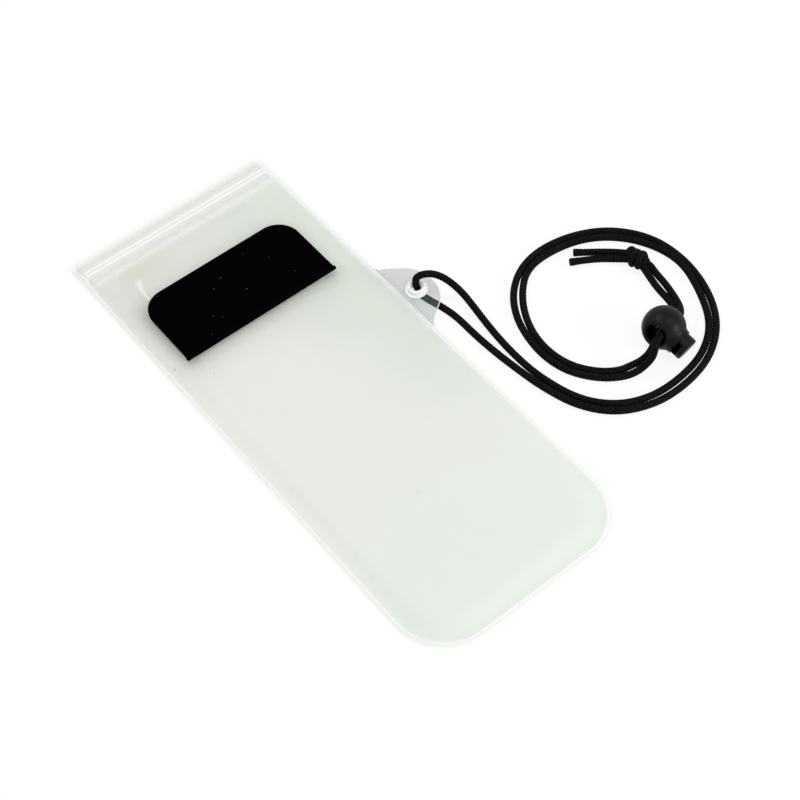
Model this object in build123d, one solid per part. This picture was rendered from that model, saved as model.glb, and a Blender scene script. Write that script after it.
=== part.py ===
from build123d import *
import os
from math import asin, atan2, cos, hypot, pi, radians, sin, tan

os.makedirs("parts", exist_ok=True)

# A waterproof phone case lying on its back, in millimetres.
# +Y runs to the mouth, +X to the eyelet tab, +Z up from the surface it lies on.
# The origin is the middle of the flat underside of the pouch.

# Pouch
pouch_width = 102.0
pouch_length = 250.0
corner_radius = 24.0
film = 0.4                   # thickness of each sheet
weld_width = 3.0             # joined rim on both long sides and the bottom
weld_ridge_width = 0.5
weld_ridge_height = 0.2
shoulder_run = 6.0           # where the front sheet climbs from the rim
soft_bend = 9.0              # radius that rounds the front sheet's shoulder

# Zip closure
zip_gap = 2.0                # between the two sheets, at the zip and over the whole panel
zip_strip_width = 8.5
mouth_lip = 6.5              # loose sheet between the zip and the mouth
mouth_gap = 0.9              # between the two sheets at the mouth
track_pitch = 2.5
zip_base = 0.4
rib_stem_width = 0.4
rib_barb_width = 0.9
rib_barb_drop = 0.55         # from the rib's base down to its barb
rib_tip_width = 0.24
rib_tip_clearance = 0.1
zip_clearance = 0.1
groove_wall = 0.35
groove_hook = 0.2            # height of the hook that holds the barb
bead_radius = 0.6            # swelling of the front sheet over each track
bead_height = 0.3

# Swelling under the flap
swell_height = 1.4
swell_run = 8.0
swell_top_width = 62.0
swell_top_length = 53.0
swell_top_radius = 6.0
swell_x = -3.0
swell_from_mouth = 52.5

# Closure flap
flap_width = 76.2
flap_length = 37.0           # from the hinge line to the free edge
flap_thickness = 1.4
flap_corner = 11.0
flap_edge = 0.3
flap_x = -2.2
hinge_from_mouth = 77.3
hinge_bead_radius = 0.95
hinge_bead_overhang = 0.4
hinge_clearance = 0.08
hinge_lift = 0.1             # from the front sheet up to the hinge bead
saddle_width = 3.0
saddle_height = 0.25

# Eyelet tab
tab_y = 16.2                 # the middle of the tab's tip, and of the eyelet
tab_root_up = 21.5           # from there to the root's end nearer the mouth
tab_root_down = 17.0         # and to its other end
tab_tip = 13.6
tab_reach = 12.4
tab_corner = 10.0
tab_rise = 3.4               # the steep step from the rim
tab_step_angle = 82.0
tab_slope = 5.0
tab_crease = 0.5
tab_bend = 0.6

# Eyelet
eyelet_from_edge = 4.6
eyelet_hole = 4.8
eyelet_barrel_wall = 0.3
eyelet_flange = 9.8
eyelet_flange_height = 0.6
eyelet_collar = 7.8
eyelet_collar_height = 2.1
eyelet_round = 0.65
eyelet_washer = 6.4
eyelet_washer_height = 0.5
eyelet_fit = 0.03
film_hole_clearance = 0.1

# Cord lock
lock_at = (118.1, -67.7)     # where the ball stands on the surface
lock_heading = 7.0           # the way the plunger points, turned from -Y to +X
lock_roll = 20.0             # how far the cord hole points up
lock_diameter = 18.4
lock_collar_diameter = 11.7
lock_collar_reach = 8.9      # from the ball's centre to the collar's end
lock_blend = 2.8
lock_bore_depth = 15.3       # from the collar's end to the spring's seat
lock_hole = 7.8
lock_hole_round = 1.2
plunger_diameter = 10.4
plunger_fit = 0.06
plunger_reach = 13.4         # from the ball's centre to the plunger's end
plunger_cap = 2.3
plunger_bar = 1.2
plunger_chamfer = 0.4
plunger_side_clearance = 0.35
plunger_floor_gap = 0.3
pinch_offset = 1.8           # the cord's plane, from the ball's centre
pinch_clearance = 0.2
spring_wire = 0.45
spring_diameter = 5.4
spring_turns = 4.5
spring_gap = 0.02

# Cord, with every route in the order it runs from the eyelet
cord_diameter = 2.8
cord_arc_share = 0.45        # of the shorter run beside a corner
knot_turns = 3               # wraps that show round the knot
knot_diameter = 9.2
knot_at = (138.5, -30.8)
knot_heading = 112.0
knot_floor_gap = 0.1
knot_clearance = 0.06

upper_route = [
    (55.44, 16.32, 6.1), (54.97, 17.05, 9.2), (57.6, 17.2, 11.7), (62.2, 14.2, 11.5),
    (65.7, 9.2, 9.6), (68.4, 1.8, 5.8), (68.9, -6.4, 2.8), (67.2, -20.0, 1.45),
    (65.8, -34.6, 1.45), (66.3, -49.7, 1.45), (70.9, -68.3, 1.45), (80.8, -80.8, 1.45),
    (94.7, -86.6, 1.45), (110.3, -86.9, 1.45), (125.7, -82.9, 1.45), (138.9, -74.3, 1.45),
    (148.5, -60.0, 1.45), (152.5, -42.7, 1.45), (149.9, -26.0, 1.45), (140.4, -13.0, 1.45),
    (127.3, -5.3, 1.45), (111.3, -2.7, 1.45), (99.4, -4.3, 1.45), (90.6, -11.6, 1.45),
    (83.7, -20.9, 1.45), (78.9, -31.7, 1.45), (77.7, -43.1, 1.45), (80.0, -54.1, 1.45),
    (86.5, -63.1, 1.45), (93.5, -68.1, 1.45), (99.1, -70.1, 1.45), (103.3, -71.7, 2.3),
    (105.7, -72.5, 5.4), (107.0, -72.4, 9.0), (109.5, -71.0, 10.6), (126.5, -67.0, 4.3),
    (130.0, -65.0, 2.6), (132.4, -61.4, 1.6), (134.1, -54.6, 1.45), (135.2, -46.7, 1.45),
    (136.4, -40.6, 2.3), (137.4, -35.0, 3.8),
]
lower_route = [
    (55.44, 16.32, 6.1), (56.07, 15.34, 1.9), (57.5, 10.6, 1.45), (59.1, 4.5, 1.45),
    (60.3, -4.4, 1.45), (60.2, -15.6, 1.45), (60.9, -28.1, 1.45), (62.3, -41.1, 1.45),
    (64.1, -55.2, 1.45), (68.8, -71.2, 1.45), (78.8, -83.5, 1.45), (93.9, -90.2, 1.45),
    (110.8, -90.8, 1.45), (127.2, -86.3, 1.45), (141.3, -76.5, 1.45), (151.7, -61.4, 1.45),
    (156.0, -43.0, 1.45), (153.3, -25.0, 1.45), (143.1, -10.4, 1.45), (128.4, -2.0, 1.45),
    (111.9, 1.2, 1.45), (98.1, -1.4, 1.45), (86.9, -9.5, 1.45), (79.5, -20.4, 1.45),
    (75.7, -32.3, 1.45), (74.7, -44.3, 1.45), (77.3, -55.9, 1.45), (84.5, -66.1, 1.45),
    (92.7, -72.0, 1.45), (98.8, -73.9, 2.1), (102.5, -74.9, 4.6), (104.8, -75.4, 8.6),
    (106.8, -74.2, 12.1), (109.8, -72.0, 13.5), (128.0, -67.6, 6.9), (131.9, -65.6, 5.3),
    (135.3, -61.5, 3.0), (137.7, -55.4, 1.7), (139.4, -46.9, 1.45), (140.0, -40.7, 2.3),
    (140.6, -35.4, 3.8),
]
tail_routes = [
    [(138.3, -27.4, 4.1), (135.2, -21.6, 2.2), (130.3, -16.5, 1.45), (125.6, -12.8, 1.45),
     (121.3, -9.4, 1.45)],
    [(135.7, -28.7, 3.7), (132.4, -23.9, 2.0), (127.8, -19.3, 1.45), (122.2, -15.6, 1.45),
     (116.5, -12.4, 1.45)],
]

# Sizes that follow from those above
half_width = pouch_width / 2
half_length = pouch_length / 2
rim_top = 2 * film
panel_top = film + zip_gap + film
swell_top = panel_top + swell_height
swell_y = half_length - swell_from_mouth
zip_front = half_length - mouth_lip
zip_middle = zip_front - zip_strip_width / 2
zip_half = half_width - weld_width
hinge_y = half_length - hinge_from_mouth
hinge_z = swell_top + hinge_lift + hinge_bead_radius
eyelet_x = half_width + eyelet_from_edge
cord_radius = cord_diameter / 2
lock_radius = lock_diameter / 2
plunger_radius = plunger_diameter / 2
bore_radius = plunger_radius + plunger_fit


def outline(inset=0.0, mouth=0.0):
    """The pouch's outline in plan, drawn in from its sides by inset and from its mouth by mouth."""
    x = half_width - inset
    y0 = inset - half_length
    y1 = half_length - mouth
    r = corner_radius - inset
    with BuildSketch() as sketch:
        with BuildLine():
            Line((x, y0 + r), (x, y1))
            Line((x, y1), (-x, y1))
            Line((-x, y1), (-x, y0 + r))
            RadiusArc((-x, y0 + r), (r - x, y0), -r)
            Line((r - x, y0), (x - r, y0))
            RadiusArc((x - r, y0), (x, y0 + r), -r)
        make_face()
    return sketch.sketch


def slab(face, low, high):
    """A flat plate of a plan face between two heights."""
    return extrude(Pos(0, 0, low) * face, amount=high - low, dir=(0, 0, 1))


def section_along_x(points, half):
    """A closed profile of (y, z) points, drawn out along X to both sides."""
    return extrude(Plane.YZ * make_face(Polyline(points, close=True)), amount=half, both=True)


def panel(drop):
    """The raised panel of the front sheet, lowered by drop, with its rounded shoulder."""
    foot = Pos(0, 0, rim_top - drop) * outline(weld_width, mouth_lip)
    crown = Pos(0, 0, panel_top - drop) * outline(weld_width + shoulder_run, mouth_lip)
    body = loft([foot, crown], ruled=True)
    edges = body.faces().sort_by(Axis.Z)[-1].edges()
    ends = edges.filter_by(Axis.X).sort_by(Axis.Y)[-1]
    return fillet([e for e in edges if e != ends], soft_bend)


def swell(drop):
    """The swelling under the flap, lowered by drop."""
    base = RectangleRounded(swell_top_width + 2 * swell_run, swell_top_length + 2 * swell_run,
                            swell_top_radius + swell_run)
    top = RectangleRounded(swell_top_width, swell_top_length, swell_top_radius)
    at = Pos(swell_x, swell_y, panel_top - drop)
    body = loft([at * base, at * Pos(0, 0, swell_height) * top], ruled=True)
    return fillet(body.faces().sort_by(Axis.Z)[-1].edges(), soft_bend)


def zip_band(drop, end_wall):
    """The band of the front sheet over the zip, and the lip that runs down to the mouth."""
    low = rim_top - drop
    high = panel_top - drop
    lip = film + mouth_gap + film - drop
    back = zip_front - zip_strip_width - film + end_wall
    profile = [(back, low), (back, high), (zip_front, high), (half_length, lip), (half_length, low)]
    return section_along_x(profile, zip_half - end_wall)


def tab_blank():
    """The tab's plan shape, standing on the pouch's edge, as a tall block that trims it."""
    tip = tab_tip / 2
    x0 = half_width - weld_width
    x1 = half_width + tab_reach
    plan = make_face(Polyline([(x0, -tab_root_down), (half_width, -tab_root_down), (x1, -tip),
                               (x1, tip), (half_width, tab_root_up), (x0, tab_root_up)], close=True))
    plan = fillet(plan.vertices().group_by(Axis.X)[-1], tab_corner)
    return slab(Pos(0, tab_y) * plan, 0, tab_height(x1) + panel_top)


def tab_height(x):
    """Height of the tab's underside where it has levelled out."""
    return tab_rise + (x - tab_step_x()) * tan(radians(tab_slope))


def tab_step_x():
    """Where the steep step meets the gentle slope."""
    step = radians(tab_step_angle)
    return half_width + tab_crease * tan(step / 2) + tab_rise / tan(step)


def tab_layer(number):
    """One sheet's share of the tab: number 0 lies under number 1."""
    step = radians(tab_step_angle)
    slope = radians(tab_slope)
    lift = number * film
    out = half_width + tab_reach

    def side(up):
        """The bent line at a height above the tab's underside."""
        first = half_width + tab_crease * tan(step / 2) - up * tan(step / 2)
        second = tab_step_x() - up * sin((step + slope) / 2) / cos((step - slope) / 2)
        rise = tab_rise + (second - tab_step_x()) * tan(slope) + up / cos(slope)
        end = rise + (out + film - second) * tan(slope)
        corners = [(half_width - weld_width, 0, up), (first, 0, up), (second, 0, rise),
                   (out + film, 0, end)]
        return FilletPolyline(corners, radius=[max(tab_crease - up, film / 4), tab_bend + up])

    low = side(lift)
    high = side(lift + film)
    profile = make_face([low, high, Line(low @ 0, high @ 0), Line(low @ 1, high @ 1)])
    bent = Pos(0, tab_y, 0) * extrude(profile, amount=tab_root_up, both=True, dir=(0, 1, 0))
    return bent & tab_blank()


def eyelet_place():
    """Location of the eyelet on the tab's underside, with its axis square to the tab."""
    return Pos(eyelet_x, tab_y, tab_height(eyelet_x)) * Rot(0, -tab_slope, 0)


def turned(points):
    """A solid of revolution about Z from (radius, height) points."""
    return revolve(Plane.XZ * make_face(Polyline(points, close=True)), axis=Axis.Z)


def film_hole():
    """The punched hole that the eyelet's barrel passes through."""
    radius = eyelet_hole / 2 + eyelet_barrel_wall + film_hole_clearance
    return eyelet_place() * Cylinder(radius, 4 * rim_top)


def make_back_sheet():
    sheet = slab(outline(), 0, film) + tab_layer(0)
    return sheet - film_hole()


def make_front_sheet():
    ridge = outline(weld_width / 2) - outline(weld_width / 2 + weld_ridge_width)
    ridge -= Pos(0, half_length) * Rectangle(pouch_width, weld_width + 2 * weld_ridge_width)
    sheet = slab(outline(), film, rim_top) + slab(ridge, rim_top, rim_top + weld_ridge_height)
    sheet += panel(0) + swell(0) + zip_band(0, 0)
    for track in (-1, 1):
        y = zip_middle + track * track_pitch / 2
        bead = Pos(0, y, panel_top + bead_height - bead_radius) * Rot(0, 90, 0)
        sheet += bead * Cylinder(bead_radius, 2 * (zip_half - film))
    saddle = Pos(flap_x, hinge_y, swell_top + saddle_height / 2)
    sheet += saddle * Box(flap_width, saddle_width, saddle_height)
    sheet -= panel(film) + swell(film) + zip_band(film, film)
    mouth = Pos(0, half_length) * Rectangle(2 * (zip_half - film), 2 * mouth_lip)
    sheet -= slab(mouth, film, film + mouth_gap)
    groove = Cylinder(hinge_bead_radius + hinge_clearance, flap_width + pouch_width)
    sheet -= Pos(flap_x, hinge_y, hinge_z) * Rot(0, 90, 0) * groove
    sheet += tab_layer(1)
    return sheet - film_hole()


def make_rib_strip():
    """The zip's upper strip: a flat base with two barbed ribs that point down."""
    half = zip_strip_width / 2
    top = film + zip_gap
    base = top - zip_base
    barb = base - rib_barb_drop
    tip = film + zip_base + rib_tip_clearance
    points = [(zip_middle - half, top), (zip_middle - half, base)]
    for track in (-1, 1):
        y = zip_middle + track * track_pitch / 2
        points += [(y - rib_stem_width / 2, base), (y - rib_stem_width / 2, barb),
                   (y - rib_barb_width / 2, barb), (y - rib_tip_width / 2, tip),
                   (y + rib_tip_width / 2, tip), (y + rib_barb_width / 2, barb),
                   (y + rib_stem_width / 2, barb), (y + rib_stem_width / 2, base)]
    points += [(zip_middle + half, base), (zip_middle + half, top)]
    return section_along_x(points, zip_half - film)


def make_groove_strip():
    """The zip's lower strip: a flat base with two hooked channels that hold the ribs."""
    half = zip_strip_width / 2
    low = film
    floor = film + zip_base
    mouth = rib_stem_width / 2 + zip_clearance
    room = rib_barb_width / 2 + zip_clearance
    outer = room + groove_wall
    hook = film + zip_gap - zip_base - rib_barb_drop + zip_clearance
    lip = hook + groove_hook
    crest = lip + groove_hook / 2
    points = [(zip_middle - half, low), (zip_middle - half, floor)]
    for track in (-1, 1):
        y = zip_middle + track * track_pitch / 2
        left = [(-outer, floor), (-outer, lip), (-room, crest), (-mouth, lip), (-mouth, hook),
                (-room, hook), (-room, floor)]
        right = [(-a, b) for a, b in reversed(left)]
        points += [(y + a, b) for a, b in left + right]
    points += [(zip_middle + half, floor), (zip_middle + half, low)]
    return section_along_x(points, zip_half - film)


def make_flap():
    """The flap: a thick plate with two round corners and a round bead along its straight edge."""
    plate = Pos(0, flap_length / 2) * Rectangle(flap_width, flap_length)
    plate = fillet(plate.vertices().group_by(Axis.Y)[-1], flap_corner)
    body = slab(plate, -flap_thickness / 2, flap_thickness / 2)
    top = body.faces().sort_by(Axis.Z)[-1]
    body = chamfer([e for e in top.edges() if e.center().Y > flap_thickness], flap_edge)
    bead = Rot(0, 90, 0) * Cylinder(hinge_bead_radius, flap_width + 2 * hinge_bead_overhang)
    bead = fillet(bead.edges().filter_by(GeomType.CIRCLE), hinge_bead_overhang)
    return Pos(flap_x, hinge_y, hinge_z) * (body + bead)


def make_eyelet():
    """The eyelet's upper half: barrel, flange and raised collar, turned as one piece."""
    hole = eyelet_hole / 2
    barrel = hole + eyelet_barrel_wall
    seat = rim_top
    flange_top = seat + eyelet_flange_height
    top = flange_top + eyelet_collar_height
    rim = eyelet_flange / 2
    collar = eyelet_collar / 2
    points = [(hole, -eyelet_washer_height), (barrel, -eyelet_washer_height), (barrel, seat), (rim, seat),
              (rim, flange_top), (collar, flange_top), (collar, top), (hole, top)]
    piece = turned(points)
    top_edges = piece.edges().filter_by(GeomType.CIRCLE).group_by(Axis.Z)[-1]
    return eyelet_place() * fillet(top_edges, eyelet_round)


def make_washer():
    """The eyelet's lower half: a washer under the tab that fits the barrel."""
    bore = eyelet_hole / 2 + eyelet_barrel_wall + eyelet_fit
    rim = eyelet_washer / 2
    low = -eyelet_washer_height
    return eyelet_place() * turned([(bore, low), (rim, low), (rim, 0), (bore, 0)])


def lock_place():
    """Frame of the cord lock: Z out along the plunger, X out along the cord hole."""
    far = hypot(plunger_reach, plunger_radius)
    tilt = asin((lock_radius - plunger_floor_gap) / far) - atan2(plunger_radius, plunger_reach)
    turn = radians(lock_heading)
    axis = Vector(sin(turn) * cos(tilt), -cos(turn) * cos(tilt), -sin(tilt))
    side = Vector(-cos(turn), -sin(turn), 0)
    up = side.cross(axis)
    roll = radians(lock_roll)
    hole = side * cos(roll) + up * (sin(roll) if up.Z > 0 else -sin(roll))
    return Plane(origin=(*lock_at, lock_radius), x_dir=hole, z_dir=axis).location


def pin(radius, start, length):
    """A round pin along Z that starts at a height."""
    return Pos(0, 0, start + length / 2) * Cylinder(radius, length)


def lock_blank():
    """The ball and its collar, turned about Z as one, with a hollow curve where they meet."""
    collar = lock_collar_diameter / 2
    across = collar + lock_blend
    along = ((lock_radius + lock_blend) ** 2 - across ** 2) ** 0.5
    share = lock_radius / (lock_radius + lock_blend)
    foot = (across * share, along * share)
    ball = ThreePointArc((0, -lock_radius), (lock_radius, 0), foot)
    bend = RadiusArc(foot, (collar, along), lock_blend)
    rest = Polyline([(collar, along), (collar, lock_collar_reach), (0, lock_collar_reach), (0, -lock_radius)])
    return Rot(0, 0, 90) * revolve(Plane.XZ * make_face([ball, bend, rest]), axis=Axis.Z)


def make_lock_body():
    """The ball: a blind bore for the plunger and a rounded cord hole right through."""
    ball = lock_blank() - Rot(0, 90, 0) * Cylinder(lock_hole / 2, 2 * lock_diameter)
    ball = fillet([e for e in ball.edges() if abs(e.bounding_box().center().X) > lock_radius / 2],
                  lock_hole_round)
    ball -= pin(bore_radius, lock_collar_reach - lock_bore_depth, lock_bore_depth)
    return lock_place() * ball


def plunger_inner_end():
    """Where the plunger's inner end stands, from the ball's centre."""
    return pinch_offset - cord_radius - pinch_clearance - plunger_bar


def make_plunger():
    """The plunger: a round pin with a long slot that the two strands pass through."""
    inner = plunger_inner_end()
    body = pin(plunger_radius, inner, plunger_reach - inner)
    body = chamfer(body.edges().filter_by(GeomType.CIRCLE), plunger_chamfer)
    low = inner + plunger_bar
    high = plunger_reach - plunger_cap
    width = 2 * (cord_diameter + plunger_side_clearance)
    slot = Pos(0, 0, (low + high) / 2) * Box(2 * plunger_diameter, width, high - low)
    return lock_place() * (body - slot)


def make_spring():
    """The spring between the bore's floor and the plunger."""
    floor = lock_collar_reach - lock_bore_depth
    room = plunger_inner_end() - floor - 2 * spring_gap - spring_wire
    radius = (spring_diameter - spring_wire) / 2
    coil = Helix(pitch=room / spring_turns, height=room, radius=radius)
    wire = sweep((coil ^ 0) * Circle(spring_wire / 2), path=coil, is_frenet=True)
    return lock_place() * Pos(0, 0, floor + spring_gap + spring_wire / 2) * wire


def corner_radii(route):
    """One arc for each corner of a route, as large as its shorter run allows."""
    points = [Vector(*p) for p in route]
    radii = []
    for a, b, c in zip(points, points[1:], points[2:]):
        turn = radians((b - a).get_angle(c - b))
        radii.append(cord_arc_share * min((b - a).length, (c - b).length) / tan(turn / 2))
    return radii


def tube(route, radius):
    """A round tube along a route of straight runs and tangent arcs."""
    path = FilletPolyline(*route, radius=corner_radii(route))
    start = Plane(origin=path @ 0, z_dir=path % 0)
    return sweep(start * Circle(radius), path=path), path.length


def make_knot(routes):
    """The knot: wraps of cord pulled tight round a core, with a pocket for each end that runs in."""
    core = knot_diameter / 2 - cord_radius
    shape = Cylinder(core, (knot_turns - 1) * cord_diameter + cord_radius)
    for turn in range(knot_turns):
        shape += Pos(0, 0, (turn - (knot_turns - 1) / 2) * cord_diameter) * Torus(core, cord_radius)
    centre = Pos(*knot_at, knot_diameter / 2 + knot_floor_gap)
    shape = centre * Rot(0, 0, knot_heading) * Rot(0, 90, 0) * shape
    for route in routes:
        shape -= tube(route, cord_radius + knot_clearance)[0]
    return shape


def report(name, route, solid, length):
    radii = corner_radii(route)
    section = pi * cord_radius ** 2 * length
    print(f"{name}: {length:.1f} mm long, volume {solid.volume:.0f}, section by length {section:.0f}")
    print("  arc radii", " ".join(f"{r:.1f}" for r in radii))


pieces = {
    "back_sheet": make_back_sheet(),
    "front_sheet": make_front_sheet(),
    "zip_rib_strip": make_rib_strip(),
    "zip_groove_strip": make_groove_strip(),
    "closure_flap": make_flap(),
    "eyelet_collar": make_eyelet(),
    "eyelet_washer": make_washer(),
    "cord_lock_body": make_lock_body(),
    "cord_lock_plunger": make_plunger(),
    "cord_lock_spring": make_spring(),
}
cord_routes = {
    "neck_cord_upper": upper_route,
    "neck_cord_lower": lower_route,
    "cord_tail_long": tail_routes[0],
    "cord_tail_short": tail_routes[1],
}
for name, route in cord_routes.items():
    pieces[name], length = tube(route, cord_radius)
    report(name, route, pieces[name], length)
pieces["cord_knot"] = make_knot([upper_route[-4:], lower_route[-4:]] + tail_routes)

for name, piece in pieces.items():
    export_step(piece, f"parts/{name}.step")
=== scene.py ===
import math

import bmesh
import bpy
from bpy.props import FloatProperty, FloatVectorProperty, IntProperty, PointerProperty
from mathutils import Matrix, Vector


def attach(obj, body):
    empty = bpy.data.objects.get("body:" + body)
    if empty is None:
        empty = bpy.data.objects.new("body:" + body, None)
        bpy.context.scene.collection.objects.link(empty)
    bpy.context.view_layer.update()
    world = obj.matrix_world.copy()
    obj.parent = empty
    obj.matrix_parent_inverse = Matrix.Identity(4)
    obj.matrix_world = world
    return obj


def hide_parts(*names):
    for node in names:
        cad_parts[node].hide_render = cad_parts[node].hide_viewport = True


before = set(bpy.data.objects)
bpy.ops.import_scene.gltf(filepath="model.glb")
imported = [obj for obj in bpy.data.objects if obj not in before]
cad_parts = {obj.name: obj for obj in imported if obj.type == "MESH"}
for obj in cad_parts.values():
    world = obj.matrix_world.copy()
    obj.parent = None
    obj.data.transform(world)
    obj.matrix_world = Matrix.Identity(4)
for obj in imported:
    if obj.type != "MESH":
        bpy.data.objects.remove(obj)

bl_info = {
    "name": "Waterproof phone case",
    "version": (1, 0, 0),
    "blender": (4, 5, 0),
    "location": "View3D > Sidebar > Phone case",
    "description": "Dresses the packed phone case: film, zip, flap, eyelet, braided cord and cord lock",
    "category": "Object",
}

MM = 0.001
CASE = "case"
FLAP = "flap"
PLUNGER = "plunger"

# The cord's routes, in metres, in the order they run from the eyelet.
UPPER_ROUTE = [
    (0.05585, 0.0169, 0.0061), (0.05568, 0.01765, 0.0092), (0.05779, 0.01691, 0.0117),
    (0.06258, 0.01428, 0.0115), (0.06617, 0.00933, 0.0096), (0.06855, 0.00186, 0.0058),
    (0.06859, -0.0064, 0.0028), (0.06695, -0.01999, 0.0016), (0.0658, -0.0346, 0.0016),
    (0.0663, -0.0497, 0.0016), (0.0709, -0.0683, 0.0016), (0.08096, -0.0806, 0.0016),
    (0.0947, -0.0866, 0.0016), (0.1103, -0.0871, 0.0016), (0.12602, -0.08389, 0.0016),
    (0.1394, -0.07466, 0.0016), (0.14787, -0.05947, 0.0016), (0.15347, -0.0424, 0.0016),
    (0.14965, -0.02631, 0.0016), (0.14018, -0.01328, 0.0016), (0.1273, -0.0053, 0.0016),
    (0.1113, -0.00244, 0.0016), (0.09934, -0.00405, 0.0016), (0.09029, -0.01147, 0.0016),
    (0.08342, -0.02079, 0.0016), (0.0789, -0.0317, 0.0016), (0.0777, -0.0431, 0.0016),
    (0.08, -0.0541, 0.0016), (0.08634, -0.0633, 0.0016), (0.09328, -0.06838, 0.0016),
    (0.0991, -0.06963, 0.0016), (0.1033, -0.07072, 0.0023), (0.10561, -0.07183, 0.0054),
    (0.107, -0.0724, 0.009), (0.1095, -0.071, 0.0106), (0.1265, -0.067, 0.0043),
    (0.13, -0.065, 0.0026), (0.13278, -0.06172, 0.0016), (0.13441, -0.05487, 0.0016),
    (0.1353, -0.04672, 0.0016), (0.13656, -0.0406, 0.0023), (0.1374, -0.035, 0.0038),
]
LOWER_ROUTE = [
    (0.05585, 0.0169, 0.0061), (0.0562, 0.0156, 0.0019), (0.05718, 0.01047, 0.0016),
    (0.05898, 0.00448, 0.0016), (0.06046, -0.00433, 0.0016), (0.0602, -0.0156, 0.0016),
    (0.06068, -0.02811, 0.0016), (0.06202, -0.04113, 0.0016), (0.06401, -0.05519, 0.0016),
    (0.0688, -0.0712, 0.0016), (0.0788, -0.0835, 0.0016), (0.0939, -0.0902, 0.0016),
    (0.1108, -0.0908, 0.0016), (0.12736, -0.08683, 0.0016), (0.14158, -0.07674, 0.0016),
    (0.15085, -0.06155, 0.0016), (0.15518, -0.04317, 0.0016), (0.15311, -0.02517, 0.0016),
    (0.14297, -0.01056, 0.0016), (0.1284, -0.002, 0.0016), (0.1119, 0.0012, 0.0016),
    (0.0981, -0.0014, 0.0016), (0.08671, -0.00941, 0.0016), (0.07934, -0.02033, 0.0016),
    (0.0757, -0.0323, 0.0016), (0.0747, -0.0443, 0.0016), (0.0773, -0.0559, 0.0016),
    (0.0845, -0.0661, 0.0016), (0.0927, -0.072, 0.0016), (0.09883, -0.07373, 0.0021),
    (0.1025, -0.07458, 0.0046), (0.1048, -0.0754, 0.0086), (0.1068, -0.0742, 0.0121),
    (0.1098, -0.072, 0.0135), (0.12731, -0.06702, 0.0069), (0.13098, -0.06484, 0.0053),
    (0.13461, -0.06106, 0.003), (0.13739, -0.05515, 0.0017), (0.1395, -0.04698, 0.0016),
    (0.13994, -0.04078, 0.0023), (0.1406, -0.0354, 0.0038),
]
LONG_TAIL = [
    (0.1383, -0.0274, 0.0041), (0.1352, -0.0216, 0.0022), (0.1303, -0.0165, 0.00145),
    (0.1256, -0.0128, 0.00145), (0.1213, -0.0094, 0.00145),
]
SHORT_TAIL = [
    (0.1357, -0.0287, 0.0037), (0.1324, -0.0239, 0.002), (0.1278, -0.0193, 0.00145),
    (0.1222, -0.0156, 0.00145), (0.1165, -0.0124, 0.00145),
]

# The knot: where it lies in metres, the way its wraps are stacked, turned from +X, and how each strand
# winds in it, in degrees and millimetres.
KNOT_AT = (0.1378, -0.0310, 0.0049)
KNOT_HEADING = math.radians(112.0)
KNOT_STEPS = 8                  # steps of one strand's wraps
KNOT_TURN = 55                  # turn from step to step
KNOT_RISE = 0.38                # rise along the knot from step to step
KNOT_REACH = 2.6                # reach from the knot's middle line, first and last step
KNOT_BELLY = 0.75               # added reach half way
KNOT_LEAN = 0.7                 # how far a wrap leans to and fro

# The film as the solids have it, in millimetres: heights over the floor, insets from the pouch's edge,
# and y from the middle of its length.
FILM = 0.4                      # thickness of one sheet
FILM_GAP = 0.01                 # kept free between two layers
RIM_TOP = 0.8                   # height of the welded rim
WELD = 3.0                      # width of the welded rim
RIDGE_IN = 1.75                 # inset of the weld's bright ridge
RIDGE_HALF = 0.35               # half its width
RIDGE_RISE = 0.2
PANEL_TOP = 2.8                 # height of the raised panel
SHOULDER = 9.0                  # run of the panel's rounded shoulder
ZIP_SHOULDER = 1.2              # run of the shoulder beside the zip
ZIP_SHOULDER_FROM = 96.0        # y where the shoulder starts to narrow
ZIP_SHOULDER_OVER = 12.0        # length over which it narrows
RIPPLE_IN = 6.0                 # inset where the film starts to be uneven
RIPPLE_BELOW = 14.0             # how far from the mouth it starts
RIPPLE_OVER = 12.0              # length over which it grows
MOUTH = 125.0                   # y of the pouch's mouth
LIP = 6.5                       # depth of the lip that slopes down to the mouth
LIP_TOP = 1.7                   # height of the lip's end
ZIP_TRACKS = (116.0, 113.9)     # y of the zip's two bright lines
ZIP_BACK = 110.6                # y of the zip's faint back edge
ZIP_TOP = 2.4                   # height of the zip strips

# Ridges that the zip presses up in the film: y, half width and rise.
ZIP_RIDGES = [(track, 0.5, 0.16) for track in ZIP_TRACKS] + [(ZIP_BACK, 0.6, 0.05)]

# The swelling under the flap and the flap itself: middle, half sizes and corner radius.
SWELL = (-3.0, 72.5, 31.0, 26.5, 6.0)
SWELL_RUN = 8.0
SWELL_HEIGHT = 1.4
FLAP_BOX = (-2.2, 66.2, 38.1, 18.5, 7.0)

# Where the film's look changes along the pouch: y at the start and at the end of each change.
ZIP_WHITER = (105.0, 109.5)
ZIP_LESS_WHITE = (117.0, 119.0)
STRIPS_SHOW = ((110.8, 111.6), (118.4, 119.0))
VEIL = ((106.5, 110.0), (110.6, 111.6))
MOUTH_FADES = (121.0, 123.4)

# The painted highlight along the crease beside the flap's left corner: middle and radius of its arc, its
# ends in y, and its end in x.
CREASE = (-3.3, 85.4, 31.2)
CREASE_ENDS = ((82.0, 87.0), (95.0, 99.0))
CREASE_RIGHT = (-29.0, -27.0)

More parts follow.
